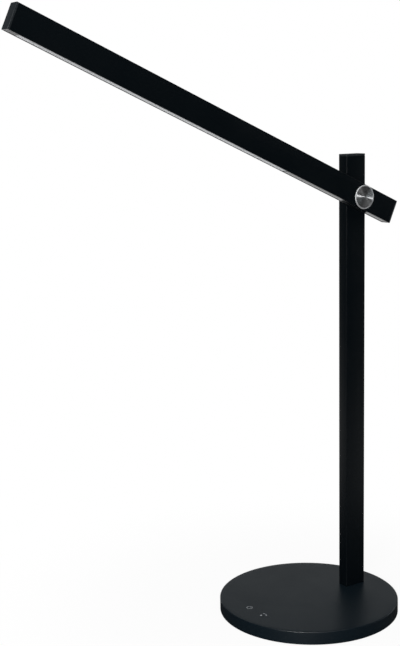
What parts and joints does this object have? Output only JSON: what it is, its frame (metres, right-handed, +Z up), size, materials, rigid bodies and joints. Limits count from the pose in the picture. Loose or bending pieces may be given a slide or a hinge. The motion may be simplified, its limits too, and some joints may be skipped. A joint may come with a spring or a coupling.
{
  "type": "folding desk lamp",
  "caption": "Desk lamp with a round weighted base, an upright bar post and a slim light bar that folds down beside the post on a friction hinge.",
  "frame": {"origin": "on the desk, under the middle of the round base", "axes": "+Z up along the post, +X towards the side of the base where the post and the power socket are, +Y away from the arm's side of the post"},
  "size_m": [0.4566, 0.2, 0.6573],
  "materials": {
    "base_black": "fine satin-black moulding of the base cover",
    "moulded_black": "plain black moulding",
    "pad_rubber": "soft black pad",
    "steel_plate": "zinc-plated steel",
    "screw_steel": "zinc-plated screws",
    "board_green": "green circuit board",
    "pad_grey": "conductive foam",
    "component_black": "moulded electronic components",
    "contact_brass": "plated brass contact",
    "lead_black": "black lead sheath",
    "lead_white": "white lead sheath",
    "block_metal": "plain aluminium block",
    "bar_black": "satin-black powder coat on an aluminium extrusion",
    "cap_black": "satin-black moulded cap",
    "hinge_steel": "bright steel",
    "bush_nylon": "natural nylon",
    "turned_aluminium": "turned aluminium with a bright bevel",
    "board_white": "white solder resist on an aluminium board",
    "diode_yellow": "yellow phosphor",
    "opal_plastic": "opal light cover",
    "strip_black": "smooth black cover strip"
  },
  "bodies": {
    "stand": {"base_cover": "base_black", "ballast_plate": "steel_plate", "bottom_plate": "moulded_black", "foot_pad": "pad_rubber", "base_screws": "screw_steel", "touch_board": "board_green", "touch_pads": "pad_grey", "touch_board_screws": "screw_steel", "driver_board": "board_green", "driver_components": "component_black", "driver_screws": "screw_steel", "dc_socket": "moulded_black", "dc_socket_pin": "contact_brass", "power_lead": "lead_black", "touch_lead": "lead_white", "post_lead": "lead_white", "post_foot_block": "block_metal", "post_bolts": "screw_steel", "post_tube": "bar_black", "post_top_cap": "cap_black", "post_hinge_block": "block_metal", "hinge_stud": "hinge_steel", "stop_washer": "hinge_steel", "spring_washer": "hinge_steel", "hinge_nut": "hinge_steel"},
    "arm": {"arm_housing": "bar_black", "arm_hinge_block": "block_metal", "hinge_bush": "bush_nylon", "hinge_disc": "turned_aluminium", "tip_cap": "cap_black", "tail_cap": "cap_black", "led_board": "board_white", "led_chips": "diode_yellow", "diffuser": "opal_plastic", "rear_strip": "strip_black", "arm_lead": "lead_white"}
  },
  "joints": [
    {"name": "arm_hinge", "type": "hinge", "parent": "stand", "child": "arm", "pos_m": [0.063, 0, 0.4622], "axis": [0, 1, 0], "range_deg": [-114.4, 20.6]}
  ]
}
